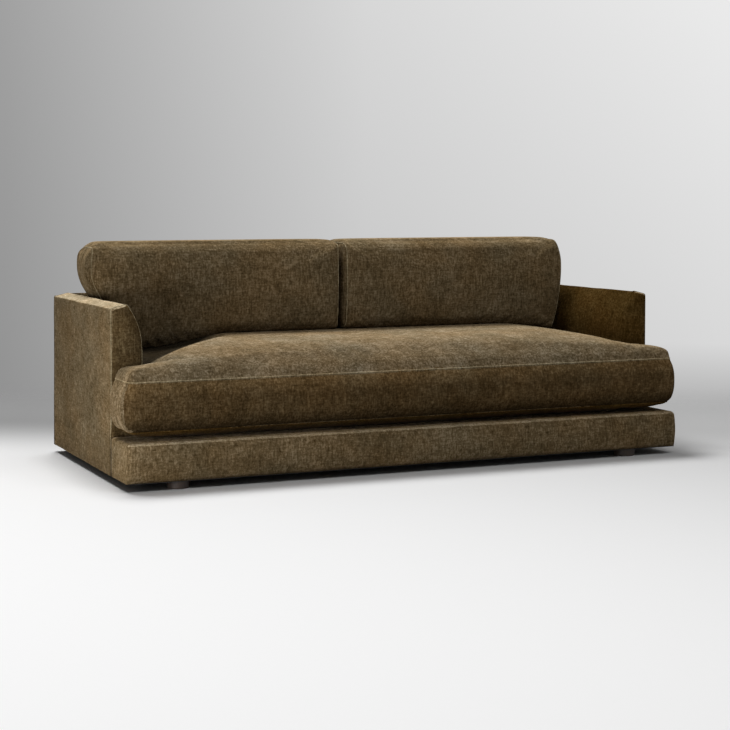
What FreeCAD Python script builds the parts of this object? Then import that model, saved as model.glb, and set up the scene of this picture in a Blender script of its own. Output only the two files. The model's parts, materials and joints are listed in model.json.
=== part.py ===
# Low sofa: an upholstered frame on four round feet, one T-shaped bench seat cushion and two loose back cushions.
# Millimetres. The origin is on the floor under the middle of the footprint, +Z is up and the front faces -Y.
import FreeCAD, Part
import math
import os

Vector = FreeCAD.Vector

# Overall sizes
overall_width = 2134.0
overall_depth = 1016.0
foot_height = 28.0
deck_height = 160.0
arm_height = 606.0
arm_thickness = 110.0
back_thickness = 110.0
front_step = 200.0  # the base stands this far ahead of the arm fronts
base_edge_radius = 16.0

# Crest of the arms and the back: the inner face curves in towards the top, the outer edge lies a little lower
crest_curve_radius = 255.0
crest_curve_drop = 156.0
crest_fall = 10.0

# Upholstery layers
fabric = 2.5
padding = 14.0
deck_pad_thickness = 15.0
dust_cover_thickness = 1.2
outer_panel_thickness = 3.0
webbing_thickness = 1.6
webbing_width = 50.0
webbing_spacing = 210.0

# Frame timber
board = 25.0
cross_rail_height = 70.0
arm_top_rail_height = 60.0
tack_rail_height = 50.0
back_top_rail_height = 60.0
webbing_lap = 40.0  # the straps are stapled over this much of the back's top rail
post_width = 60.0
post_spacing = 520.0

# Springs and their clips
spring_wire = 3.8
spring_spacing = 170.0
spring_loop_width = 56.0
spring_bar_pitch = 44.0
spring_end_margin = 70.0
clip_width = 15.0
clip_sheet = 1.2
clip_play = 0.2
tie_wire = 2.4
tie_play = 0.05

# Feet and fasteners
foot_top_diameter = 78.0
foot_bottom_diameter = 74.0
foot_edge_radius = 3.0
foot_side_inset = 191.0
foot_front_inset = 54.0
foot_rear_inset = 54.0
foot_block_width = 120.0
foot_block_depth = 70.0
foot_block_height = 45.0
bolt_diameter = 8.0
bolt_depth_in_foot = 20.0
bolt_stand_out = 6.0
tee_nut_barrel = 11.0
tee_nut_flange = 22.0
tee_nut_sheet = 1.5
tee_nut_depth = 12.0
screw_diameter = 4.4
screw_head_diameter = 9.0
screw_head_height = 3.5
screw_length = 50.0
hole_play = 0.05

# Seat cushion
seat_front_setback = 4.0
seat_ear_setback = 1.0
seat_arm_gap = 1.5
seat_rear_gap = 4.0
rest_gap = 0.5
seat_low_seam_height = 195.0
seat_high_seam_height = 361.0
seat_height = 457.0
seat_underside_inset = 90.0
ear_underside_inset = 60.0
ear_underside_rise = 6.0
ear_crown_rise = 30.0
ear_lap = 150.0

# Back cushions
back_cushion_top = 808.0
back_cushion_depth = 232.0
back_cushion_lean = 14.0
back_cushion_bulge = 14.0
back_cushion_shoulder = 70.0
back_cushion_apex_offset = 120.0
back_cushion_overhang = 52.0
back_cushion_corner = 35.0
back_cushion_front_corner = 55.0
back_cushion_corner_clearance = 8.0  # the front corners' curve ends this far outside the cushion's ends
back_cushion_arm_inset = 10.0
back_cushion_middle_gap = 4.0
back_cushion_gap = 0.8
end_panel_depth = 15.0
front_panel_lap = 40.0
front_panel_rear_drop = 110.0

# Zips
seat_zip_length = 1300.0
back_zip_length = 640.0
zip_groove_depth = 8.0
zip_groove_height = 14.0
zip_tape_thickness = 1.2
zip_rise = 14.0
slider_length = 15.0
slider_play = 0.4
slider_side_play = 1.0
slider_tab_length = 22.0
slider_tab_height = 6.0
slider_tab_sheet = 1.4

# Places that follow from the sizes above
half_width = overall_width / 2
front_y = -overall_depth / 2
rear_y = overall_depth / 2
arm_front_y = front_y + front_step
seam_y = arm_front_y + fabric
arm_rear_y = rear_y - fabric
back_inner_y = rear_y - back_thickness
arm_inner_x = half_width - arm_thickness
layers = fabric + padding
rail_bottom = foot_height + dust_cover_thickness
deck_pad_bottom = deck_height - fabric - deck_pad_thickness
rail_top = deck_pad_bottom - spring_wire - clip_play - clip_sheet
crest_start = arm_height - crest_curve_drop
front_rail_rear_y = front_y + layers + board
rear_rail_front_y = arm_rear_y - board
spring_rail_front_y = back_inner_y + layers
spring_rail_rear_y = spring_rail_front_y + board
side_rail_inner_x = half_width - layers - board
deck_half_width = arm_inner_x + layers
board_front_y = seam_y + padding
board_rear_y = board_front_y + board


def save(name, shapes):
    """Write one node; several like pieces share a node as separate solids."""
    if isinstance(shapes, list):
        shapes = Part.makeCompound(shapes)
    shapes.exportStep("parts/" + name + ".step")


def box(x0, x1, y0, y1, z0, z1):
    return Part.makeBox(x1 - x0, y1 - y0, z1 - z0, Vector(x0, y0, z0))


def mirrored(shape):
    """The same piece on the other side of the sofa."""
    return shape.mirror(Vector(0, 0, 0), Vector(1, 0, 0))


def face_of(points, place):
    """Flat face through points; a point marked as a bend makes an arc with its two neighbours."""
    edges = []
    index = 0
    while index < len(points):
        start = points[index]
        after = points[(index + 1) % len(points)]
        if len(after) == 3:
            end = points[(index + 2) % len(points)]
            edges.append(Part.Arc(place(*start[:2]), place(*after[:2]), place(*end[:2])).toShape())
            index += 2
        else:
            edges.append(Part.LineSegment(place(*start[:2]), place(*after[:2])).toShape())
            index += 1
    return Part.Face(Part.Wire(edges))


def crest_point(thickness, inset):
    """Distance from the outer face to the crest line, on a section that is inset all round."""
    radius = crest_curve_radius - inset
    rise = arm_height - inset - crest_start
    return thickness - crest_curve_radius + math.sqrt(radius ** 2 - rise ** 2)


def crest_section(thickness, inset, outer_inset, floor):
    """Upright section of an arm or the back, as (distance from the outer face, height)."""
    radius = crest_curve_radius - inset
    crest_z = arm_height - inset
    half_turn = math.asin((crest_z - crest_start) / radius) / 2
    bend_s = thickness - crest_curve_radius + radius * math.cos(half_turn)
    bend_z = crest_start + radius * math.sin(half_turn)
    return [
        (outer_inset, floor),
        (outer_inset, crest_z - crest_fall),
        (crest_point(thickness, inset), crest_z),
        (bend_s, bend_z, "bend"),
        (thickness - inset, crest_start),
        (thickness - inset, floor),
    ]


def arm_form(inset, y0, y1, floor):
    """Left arm's outer shape, or a layer inside it."""
    section = crest_section(arm_thickness, inset, inset, floor)
    face = face_of(section, lambda s, z: Vector(-half_width + s, y0, z))
    return face.extrude(Vector(0, y1 - y0, 0))


def back_form(inset, reach, floor):
    """The back's shape between the arms, or a layer inside it."""
    section = crest_section(back_thickness, inset, fabric, floor)
    face = face_of(section, lambda s, z: Vector(-reach, rear_y - s, z))
    return face.extrude(Vector(2 * reach, 0, 0))


def base_block(inset):
    """Base block ahead of the arms, with rounded top and front edges."""
    top = deck_height - inset
    front = front_y + inset
    block = box(-half_width + inset, half_width - inset, front, seam_y, foot_height, top)
    rounded = []
    for edge in block.Edges:
        ends = [vertex.Point for vertex in edge.Vertexes]
        on_top = all(abs(point.z - top) < 1e-6 for point in ends)
        on_front = all(abs(point.y - front) < 1e-6 for point in ends)
        at_floor = all(abs(point.z - foot_height) < 1e-6 for point in ends)
        at_seam = all(abs(point.y - seam_y) < 1e-6 for point in ends)
        if (on_top or on_front) and not at_floor and not at_seam:
            rounded.append(edge)
    radius = max(base_edge_radius - inset, fabric / 2)
    return block.makeFillet(radius, rounded)


def stacked(x0, x1, y0, y1, levels):
    """Closed form through level rectangles, each (inset at x0, at x1, at the front, at the rear, height)."""
    rings = []
    for low_x, high_x, front, rear, z in levels:
        corners = [
            Vector(x0 + low_x, y0 + front, z),
            Vector(x1 - high_x, y0 + front, z),
            Vector(x1 - high_x, y1 - rear, z),
            Vector(x0 + low_x, y1 - rear, z),
        ]
        rings.append(corners)
    outlines = [rings[0], rings[-1]]
    for below, above in zip(rings, rings[1:]):
        for side in range(4):
            turn = (side + 1) % 4
            outlines.append([below[side], below[turn], above[turn], above[side]])
    faces = [Part.Face(Part.makePolygon(outline + [outline[0]])) for outline in outlines]
    solid = Part.makeSolid(Part.makeShell(faces))
    if solid.Volume < 0:
        solid.reverse()
    return solid


os.makedirs("parts", exist_ok=True)

# Screw places: each joins a rail to the end of another board, at two heights
screw_low_z = rail_bottom + cross_rail_height * 0.25
screw_high_z = rail_bottom + cross_rail_height * 0.75
side_rail_x = half_width - layers - board / 2
cross_rail_places = [-half_width / 2, 0.0, half_width / 2]


def screw(x, y, z, direction, play):
    """Countersunk wood screw along Y, its head flush with the face at y."""
    along = Vector(0, direction, 0)
    head = Part.makeCylinder(screw_head_diameter / 2 + play, screw_head_height, Vector(x, y, z), along)
    shank = Part.makeCylinder(screw_diameter / 2 + play, screw_length, Vector(x, y, z), along)
    return head.fuse(shank).removeSplitter()


screw_places = []
for screw_z in (screw_low_z, screw_high_z):
    for screw_x in [-side_rail_x, side_rail_x] + cross_rail_places:
        screw_places.append((screw_x, front_y + layers, screw_z, 1))
    for screw_x in (-side_rail_x, side_rail_x):
        screw_places.append((screw_x, arm_rear_y, screw_z, -1))
    for screw_x in cross_rail_places:
        screw_places.append((screw_x, spring_rail_rear_y, screw_z, -1))
screw_holes = Part.makeCompound([screw(*place, hole_play) for place in screw_places])
save("frame_screws", [screw(*place, 0.0) for place in screw_places])

# Base frame: front, rear and side rails, the rear spring rail, and cross rails between them
rail_reach = half_width - layers
front_rail = box(-rail_reach, rail_reach, front_y + layers, front_rail_rear_y, rail_bottom, rail_top)
rear_rail = box(-rail_reach, rail_reach, rear_rail_front_y, arm_rear_y, rail_bottom, rail_top)
side_rail = box(-rail_reach, -side_rail_inner_x, front_rail_rear_y, rear_rail_front_y, rail_bottom, rail_top)
spring_rail = box(
    -side_rail_inner_x, side_rail_inner_x, spring_rail_front_y, spring_rail_rear_y, rail_bottom, rail_top
)
cross_rails = []
for rail_x in cross_rail_places:
    cross_rails.append(
        box(
            rail_x - board / 2, rail_x + board / 2, front_rail_rear_y, spring_rail_front_y,
            rail_bottom, rail_bottom + cross_rail_height,
        )
    )
save("front_rail", front_rail.cut(screw_holes))
save("rear_rail", rear_rail.cut(screw_holes))
save("left_side_rail", side_rail.cut(screw_holes))
save("right_side_rail", mirrored(side_rail).cut(screw_holes))
save("spring_rail", spring_rail.cut(screw_holes))
save("cross_rails", [rail.cut(screw_holes) for rail in cross_rails])

# Feet: turned wood, each screwed by a hanger bolt into a tee nut in its foot block
foot_x = half_width - foot_side_inset
foot_front_y = front_y + foot_front_inset
foot_rear_y = rear_y - foot_rear_inset
foot_places = {
    "front_left_foot": (-foot_x, foot_front_y),
    "front_right_foot": (foot_x, foot_front_y),
    "rear_left_foot": (-foot_x, foot_rear_y),
    "rear_right_foot": (foot_x, foot_rear_y),
}
block_top = rail_bottom + foot_block_height
bolt_low_z = foot_height - bolt_depth_in_foot
bolt_length = block_top + bolt_stand_out - bolt_low_z
foot_blocks = []
foot_bolts = []
foot_tee_nuts = []
bolt_clearances = []
for name, (x, y) in foot_places.items():
    foot = Part.makeCone(foot_bottom_diameter / 2, foot_top_diameter / 2, foot_height, Vector(x, y, 0))
    foot = foot.makeFillet(foot_edge_radius, [edge for edge in foot.Edges if edge.CenterOfMass.z < 1e-6])
    bolt_hole = Part.makeCylinder(bolt_diameter / 2 + hole_play, bolt_length, Vector(x, y, bolt_low_z))
    save(name, foot.cut(bolt_hole))
    bolt_clearances.append(bolt_hole)
    foot_bolts.append(Part.makeCylinder(bolt_diameter / 2, bolt_length, Vector(x, y, bolt_low_z)))
    barrel = Part.makeCylinder(tee_nut_barrel / 2, tee_nut_depth, Vector(x, y, block_top - tee_nut_depth))
    flange = Part.makeCylinder(tee_nut_flange / 2, tee_nut_sheet, Vector(x, y, block_top))
    foot_tee_nuts.append(barrel.fuse(flange).removeSplitter().cut(bolt_hole))
    block_front = front_rail_rear_y if y < 0 else spring_rail_rear_y
    block_rear = front_rail_rear_y + foot_block_depth if y < 0 else rear_rail_front_y
    block_half = foot_block_width / 2
    block = box(x - block_half, x + block_half, block_front, block_rear, rail_bottom, block_top)
    barrel_hole = Part.makeCylinder(tee_nut_barrel / 2 + hole_play, foot_block_height, Vector(x, y, rail_bottom))
    foot_blocks.append(block.cut(barrel_hole))
save("foot_blocks", foot_blocks)
save("foot_bolts", foot_bolts)
save("foot_tee_nuts", foot_tee_nuts)

# Seat springs: sinuous wires from the front rail to the spring rail, a clip at each end, tie wires across them
spring_front_y = front_rail_rear_y - board / 2
spring_rear_y = spring_rail_rear_y - board / 2
spring_z = rail_top + spring_wire / 2
spring_reach = arm_inner_x - spring_end_margin
spring_count = int(2 * spring_reach / spring_spacing) + 1
spring_places = [(index - (spring_count - 1) / 2) * spring_spacing for index in range(spring_count)]
spring_gaps = round((spring_rear_y - spring_front_y) / spring_bar_pitch)
spring_pitch = (spring_rear_y - spring_front_y) / spring_gaps
spring_half_bar = (spring_loop_width - spring_pitch) / 2


def sinuous_spring(x):
    """Wire of straight bars joined by half circles, swept along one flat path."""
    edges = []
    side = 1
    for bar in range(spring_gaps + 1):
        y = spring_front_y + bar * spring_pitch
        start = Vector(x - side * spring_half_bar, y, spring_z)
        end = Vector(x + side * spring_half_bar, y, spring_z)
        edges.append(Part.LineSegment(start, end).toShape())
        if bar < spring_gaps:
            bend = Vector(x + side * spring_loop_width / 2, y + spring_pitch / 2, spring_z)
            turn_end = Vector(end.x, y + spring_pitch, spring_z)
            edges.append(Part.Arc(end, bend, turn_end).toShape())
        side = -side
    first = edges[0].Vertexes[0].Point
    profile = Part.Wire(Part.makeCircle(spring_wire / 2, first, Vector(1, 0, 0)))
    return Part.Wire(edges).makePipeShell([profile], True, False)


def spring_clip(x, y):
    """Folded steel clip that straddles the last bar of a spring and stands on the rail."""
    top = rail_top + spring_wire + clip_play + clip_sheet
    x0 = x - spring_half_bar
    x1 = x + spring_half_bar
    body = box(x0, x1, y - clip_width / 2, y + clip_width / 2, rail_top, top)
    half_channel = spring_wire / 2 + clip_play
    channel = box(x0, x1, y - half_channel, y + half_channel, rail_top, top - clip_sheet)
    return body.cut(channel)


save("seat_springs", [sinuous_spring(x) for x in spring_places])
save("spring_clips", [spring_clip(x, y) for x in spring_places for y in (spring_front_y, spring_rear_y)])
tie_reach = spring_places[-1] + spring_loop_width / 2
tie_wires = []
for share in (1 / 3, 2 / 3):
    tie_y = spring_front_y + share * (spring_rear_y - spring_front_y)
    tie_start = Vector(-tie_reach, tie_y, rail_top - tie_wire / 2 - tie_play)
    tie_wires.append(Part.makeCylinder(tie_wire / 2, 2 * tie_reach, tie_start, Vector(1, 0, 0)))
save("spring_tie_wires", tie_wires)

# Deck over the springs, base padding and cover, and the dust cover that closes the underside
deck_ears = box(-rail_reach, rail_reach, front_y + layers, seam_y, deck_pad_bottom, deck_height - fabric)
deck_middle = box(
    -deck_half_width, deck_half_width, seam_y, spring_rail_rear_y, deck_pad_bottom, deck_height - fabric
)
deck_pad = deck_ears.common(base_block(fabric)).fuse(deck_middle).removeSplitter()
save("deck_pad", deck_pad)
save(
    "deck_cloth",
    box(-deck_half_width, deck_half_width, seam_y, spring_rail_rear_y, deck_height - fabric, deck_height),
)
below_rails = box(-half_width, half_width, front_y, rear_y, 0, rail_bottom)
inside_padding = box(-rail_reach, rail_reach, front_y + layers, rear_y, 0, deck_height)
save("base_pad", base_block(fabric).cut(inside_padding).cut(below_rails))
save("base_cover", base_block(0).cut(base_block(fabric)))
dust_rear = box(
    -half_width + fabric, half_width - fabric, seam_y, arm_rear_y, foot_height, rail_bottom
)
dust_cover = base_block(fabric).common(below_rails).fuse(dust_rear).removeSplitter()
for bolt_hole in bolt_clearances:
    dust_cover = dust_cover.cut(bolt_hole)
save("dust_cover", dust_cover)

# Arms: profiled front board and rear post, top and tack rails, outer panel, padding, cover and front panel
post_front_y = arm_rear_y - board
top_rail_floor = arm_height - layers - arm_top_rail_height
front_board = arm_form(layers, board_front_y, board_rear_y, rail_top)
rear_post = arm_form(layers, post_front_y, arm_rear_y, rail_top)
above_arm_rail = box(-half_width, half_width, front_y, rear_y, top_rail_floor, arm_height)
arm_top_rail = arm_form(layers, board_rear_y, post_front_y, deck_height).common(above_arm_rail)
arm_tack_rail = box(
    -deck_half_width - board, -deck_half_width, board_rear_y, post_front_y,
    deck_height, deck_height + tack_rail_height,
)
outer_panel = box(
    -rail_reach, -rail_reach + outer_panel_thickness, board_rear_y, post_front_y, rail_top, top_rail_floor
)
save("arm_front_boards", [front_board, mirrored(front_board)])
save("arm_rear_posts", [rear_post, mirrored(rear_post)])
save("arm_top_rails", [arm_top_rail, mirrored(arm_top_rail)])
save("arm_tack_rails", [arm_tack_rail, mirrored(arm_tack_rail)])
save("arm_outer_panels", [outer_panel, mirrored(outer_panel)])

arm_pad = arm_form(fabric, seam_y, arm_rear_y, rail_bottom)
arm_pad = arm_pad.cut(arm_form(layers, board_front_y, arm_rear_y, rail_bottom))
arm_pad = arm_pad.cut(box(-rail_reach, -arm_inner_x, seam_y, arm_rear_y, rail_bottom, deck_height))
arm_cover = arm_form(0, seam_y, arm_rear_y, foot_height)
arm_cover = arm_cover.cut(arm_form(fabric, seam_y, arm_rear_y, foot_height))
arm_cover = arm_cover.cut(box(-half_width + fabric, -arm_inner_x, seam_y, arm_rear_y, foot_height, deck_height))
arm_front_panel = arm_form(0, arm_front_y, seam_y, deck_height)
save("left_arm_pad", arm_pad)
save("right_arm_pad", mirrored(arm_pad))
save("left_arm_cover", arm_cover)
save("right_arm_cover", mirrored(arm_cover))
save("left_arm_front_panel", arm_front_panel)
save("right_arm_front_panel", mirrored(arm_front_panel))

# Back between the arms: posts on the rear rail, top and tack rails, webbing, padding, inside and outside covers
crest_x = half_width - crest_point(arm_thickness, 0)
left_arm_space = arm_form(0, seam_y, rear_y, foot_height)
arm_spaces = Part.makeCompound([left_arm_space, mirrored(left_arm_space)])
frame_inset = layers + webbing_thickness
timber_front_y = back_inner_y + frame_inset
top_rail_low_z = arm_height - frame_inset - back_top_rail_height
above_back_rail = box(-half_width, half_width, front_y, rear_y, top_rail_low_z, arm_height)
back_top_rail = back_form(frame_inset, crest_x, deck_height).common(above_back_rail).cut(arm_spaces)
save("back_top_rail", back_top_rail)
save(
    "back_tack_rail",
    box(
        -arm_inner_x, arm_inner_x, timber_front_y, timber_front_y + board,
        deck_height, deck_height + tack_rail_height,
    ),
)
post_count = int(2 * arm_inner_x / post_spacing) + 1
back_posts = []
for index in range(post_count):
    post_x = (index - (post_count - 1) / 2) * post_spacing
    back_posts.append(
        box(post_x - post_width / 2, post_x + post_width / 2, post_front_y, arm_rear_y, rail_top, top_rail_low_z)
    )
save("back_posts", back_posts)
strap_count = int((2 * arm_inner_x - webbing_width) / webbing_spacing) + 1
webbing_layer = back_form(layers, crest_x, deck_height).cut(back_form(frame_inset, crest_x, deck_height))
straps = []
for index in range(strap_count):
    strap_x = (index - (strap_count - 1) / 2) * webbing_spacing
    strap_space = box(
        strap_x - webbing_width / 2, strap_x + webbing_width / 2, front_y, rear_y,
        deck_height, top_rail_low_z + webbing_lap,
    )
    straps.append(webbing_layer.common(strap_space))
save("back_webbing", straps)
save("back_pad", back_form(fabric, crest_x, deck_height).cut(back_form(layers, crest_x, deck_height)).cut(arm_spaces))
inside_back = back_form(0, crest_x, deck_height).cut(back_form(fabric, crest_x, deck_height))
save("inside_back_cover", inside_back.cut(arm_spaces))
left_arm_end = arm_form(0, arm_rear_y, rear_y, foot_height)
outside_back = box(-half_width, half_width, arm_rear_y, rear_y, foot_height, arm_height - crest_fall)
outside_back = outside_back.fuse([left_arm_end, mirrored(left_arm_end)]).removeSplitter()
save("outside_back_cover", outside_back)


def zip_groove(x0, x1, face_y, low_z, inset):
    """Recess that a zip lies in, open to the rear; inset is the cover's thickness for the fill inside it."""
    return box(
        x0 - inset, x1 + inset, face_y - zip_groove_depth - inset, face_y + back_thickness,
        low_z - inset, low_z + zip_groove_height + inset,
    )


def zip_tape(x0, x1, face_y, low_z):
    floor_y = face_y - zip_groove_depth
    return box(x0, x1, floor_y, floor_y + zip_tape_thickness, low_z, low_z + zip_groove_height)


def zip_slider(x0, face_y, low_z):
    """Slider body that runs on the tape, with its pull tab lying beside it."""
    body_y = face_y - zip_groove_depth + zip_tape_thickness + slider_play
    body = box(
        x0 + slider_side_play, x0 + slider_side_play + slider_length, body_y, face_y - slider_side_play,
        low_z + slider_side_play, low_z + zip_groove_height - slider_side_play,
    )
    tab_z = low_z + zip_groove_height / 2
    tab_x = x0 + slider_side_play + slider_length
    tab = box(
        tab_x, tab_x + slider_tab_length, body_y, body_y + slider_tab_sheet,
        tab_z - slider_tab_height / 2, tab_z + slider_tab_height / 2,
    )
    return body.fuse(tab).removeSplitter()


# Seat cushion: a crowned bench between the arms with an ear ahead of each arm, foam inside a sewn cover
seat_front_y = front_y + seat_front_setback
seat_rear_y = back_inner_y - seat_rear_gap
seat_half = arm_inner_x - seat_arm_gap
ear_reach = half_width - seat_ear_setback
ear_rear_y = arm_front_y - seat_arm_gap
seat_low_z = deck_height + rest_gap
crown_rise = seat_height - seat_high_seam_height
# Steps up the crown: inset from the sides and the front, inset from the rear, share of the rise
crown_steps = [(45.0, 20.0, 0.42), (130.0, 45.0, 0.77), (300.0, 95.0, 1.0)]
ear_crown_steps = [(32.0, 0.7), (60.0, 1.0)]


def seat_middle(inset):
    under = seat_underside_inset + inset
    levels = [
        (under, under, under, under, seat_low_z + inset),
        (inset, inset, inset, inset, seat_low_seam_height),
        (inset, inset, inset, inset, seat_high_seam_height),
    ]
    for step, rear_step, share in crown_steps:
        z = seat_high_seam_height + share * crown_rise - inset
        levels.append((step + inset, step + inset, step + inset, rear_step + inset, z))
    return stacked(-seat_half, seat_half, seat_front_y, seat_rear_y, levels)


def seat_ear(inset):
    """Left ear, which runs on into the middle of the cushion."""
    under = ear_underside_inset + inset
    levels = [
        (under, 0, under, under, seat_low_z + ear_underside_rise + inset),
        (inset, 0, inset, inset, seat_low_seam_height),
        (inset, 0, inset, inset, seat_high_seam_height),
    ]
    for step, share in ear_crown_steps:
        z = seat_high_seam_height + share * ear_crown_rise - inset
        levels.append((step + inset, 0, step + inset, step + inset, z))
    return stacked(-ear_reach, -seat_half + ear_lap, seat_front_y, ear_rear_y, levels)


seat_zip_x = seat_zip_length / 2
seat_zip_z = (seat_low_seam_height + seat_high_seam_height - zip_groove_height) / 2
seat_outside = seat_middle(0).fuse([seat_ear(0), mirrored(seat_ear(0))])
seat_inside = seat_middle(fabric).fuse([seat_ear(fabric), mirrored(seat_ear(fabric))])
seat_outside = seat_outside.cut(zip_groove(-seat_zip_x, seat_zip_x, seat_rear_y, seat_zip_z, 0))
seat_fill_groove = zip_groove(-seat_zip_x, seat_zip_x, seat_rear_y, seat_zip_z, fabric)
seat_cover = seat_outside.cut(seat_inside.cut(seat_fill_groove))
above_seams = box(-half_width, half_width, front_y, rear_y, seat_high_seam_height, arm_height)
below_seams = box(-half_width, half_width, front_y, rear_y, 0, seat_low_seam_height)
save("seat_cover_top", seat_cover.common(above_seams))
save("seat_cover_bottom", seat_cover.common(below_seams))
save("seat_cover_boxing", seat_cover.cut(above_seams).cut(below_seams))
seat_foam = seat_middle(fabric).cut(seat_fill_groove)
ear_foam = seat_ear(fabric).cut(seat_middle(fabric))
save("seat_foam_core", seat_foam)
save("seat_foam_ears", [ear_foam, mirrored(ear_foam)])
save("seat_zip_tape", zip_tape(-seat_zip_x, seat_zip_x, seat_rear_y, seat_zip_z))
save("seat_zip_slider", zip_slider(-seat_zip_x, seat_rear_y, seat_zip_z))

# Back cushions: fibre fill in a cover whose front panel runs over the top, with end panels and a zip low behind
cushion_low_z = seat_height + rest_gap
cushion_front_y = back_inner_y - back_cushion_depth
cushion_apex_y = back_inner_y - back_cushion_apex_offset
cushion_out_x = -(crest_x - back_cushion_arm_inset)
cushion_in_x = -back_cushion_middle_gap / 2


def shoulder_bend(edge_y, inset):
    """Point half way along the arc that rises from the edge of the cushion to its flat top."""
    run = cushion_apex_y - edge_y
    rise = back_cushion_shoulder - inset
    radius = (run ** 2 + rise ** 2) / (2 * rise)
    half_turn = math.atan2(run, radius - rise) / 2
    bend_y = cushion_apex_y - radius * math.sin(half_turn)
    bend_z = back_cushion_top - inset - radius + radius * math.cos(half_turn)
    return (bend_y, bend_z, "bend")


def cushion_profile(inset):
    """Section from front to rear: bulged front, rounded top, rear that leans on the back and over it."""
    low_z = cushion_low_z + inset
    shoulder_z = back_cushion_top - back_cushion_shoulder
    front_low = cushion_front_y + inset
    front_high = front_low - back_cushion_lean
    rear_high = back_inner_y + back_cushion_overhang - inset
    front_bend = ((front_low + front_high) / 2 - back_cushion_bulge, (low_z + shoulder_z) / 2, "bend")
    return [
        (front_low, low_z),
        front_bend,
        (front_high, shoulder_z),
        shoulder_bend(front_high, inset),
        (cushion_apex_y, back_cushion_top - inset),
        shoulder_bend(rear_high, inset),
        (rear_high, shoulder_z),
        (back_inner_y - back_cushion_gap - inset, low_z),
    ]


def cushion_outline(inset):
    """Outline seen from the front, with rounded top corners."""
    low_z = cushion_low_z + inset
    high_z = back_cushion_top - inset
    left = cushion_out_x + inset
    right = cushion_in_x - inset
    radius = back_cushion_corner - inset
    corner = radius * (1 - math.sqrt(0.5))
    return [
        (left, low_z),
        (left, high_z - radius),
        (left + corner, high_z - corner, "bend"),
        (left + radius, high_z),
        (right - radius, high_z),
        (right - corner, high_z - corner, "bend"),
        (right, high_z - radius),
        (right, low_z),
    ]


def cushion_plan(inset):
    """Outline seen from above, with rounded front corners."""
    left = cushion_out_x - back_cushion_corner_clearance + inset
    right = cushion_in_x + back_cushion_corner_clearance - inset
    front = cushion_front_y - back_cushion_lean - back_cushion_bulge + inset
    radius = back_cushion_front_corner - inset
    corner = radius * (1 - math.sqrt(0.5))
    return [
        (left, 2 * rear_y),
        (left, front + radius),
        (left + corner, front + corner, "bend"),
        (left + radius, front),
        (right - radius, front),
        (right - corner, front + corner, "bend"),
        (right, front + radius),
        (right, 2 * rear_y),
    ]


def cushion_form(inset):
    """Left back cushion's shape, or the fill inside its cover, clear of the arm and of the back's frame."""
    section = face_of(cushion_profile(inset), lambda y, z: Vector(-half_width, y, z))
    outline = face_of(cushion_outline(inset), lambda x, z: Vector(x, front_y, z))
    plan = face_of(cushion_plan(inset), lambda x, y: Vector(x, y, 0))
    form = section.extrude(Vector(half_width, 0, 0)).common(outline.extrude(Vector(0, 2 * overall_depth, 0)))
    form = form.common(plan.extrude(Vector(0, 0, 2 * arm_height)))
    clearance = -back_cushion_gap - inset
    arm_room = arm_form(clearance, arm_front_y, 2 * rear_y, foot_height)
    back_room = back_form(clearance, half_width, foot_height)
    return form.cut(arm_room).cut(back_room)


cushion_seam_x = -(arm_inner_x - end_panel_depth)
cushion_inner_seam_x = cushion_in_x - end_panel_depth
cushion_zip_middle = (cushion_seam_x + cushion_inner_seam_x) / 2
cushion_zip_start = cushion_zip_middle - back_zip_length / 2
cushion_zip_end = cushion_zip_middle + back_zip_length / 2
cushion_zip_z = cushion_low_z + zip_rise
cushion_zip_y = back_inner_y - back_cushion_gap
cushion_groove = zip_groove(cushion_zip_start, cushion_zip_end, cushion_zip_y, cushion_zip_z, 0)
fill_groove = zip_groove(cushion_zip_start, cushion_zip_end, cushion_zip_y, cushion_zip_z, fabric)
cushion_fill = cushion_form(fabric).cut(fill_groove)
cushion_cover = cushion_form(0).cut(cushion_groove).cut(cushion_fill)
between_ends = box(cushion_seam_x, cushion_inner_seam_x, front_y, 2 * rear_y, 0, 2 * arm_height)
cushion_tube = cushion_cover.common(between_ends)
front_split_y = cushion_front_y + front_panel_lap
rear_split_z = back_cushion_top - front_panel_rear_drop
rear_share = box(-half_width, 0, front_split_y, 2 * rear_y, 0, rear_split_z)
cushion_end_panels = cushion_cover.cut(between_ends)
cushion_front_panel = cushion_tube.cut(rear_share)
cushion_rear_panel = cushion_tube.common(rear_share)
cushion_tape = zip_tape(cushion_zip_start, cushion_zip_end, cushion_zip_y, cushion_zip_z)
cushion_slider = zip_slider(cushion_zip_start, cushion_zip_y, cushion_zip_z)
cushion_pieces = {
    "fill": cushion_fill,
    "cover_front": cushion_front_panel,
    "cover_rear": cushion_rear_panel,
    "end_panels": cushion_end_panels,
    "zip_tape": cushion_tape,
    "zip_slider": cushion_slider,
}
for piece, shape in cushion_pieces.items():
    save("left_back_cushion_" + piece, shape)
    save("right_back_cushion_" + piece, mirrored(shape))
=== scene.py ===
# Low sofa in olive-brown chenille pile, with a bench seat cushion and loose back cushions.
# Metres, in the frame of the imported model: the floor is at z = 0 and the front faces -Y.
import json
import math

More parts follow.
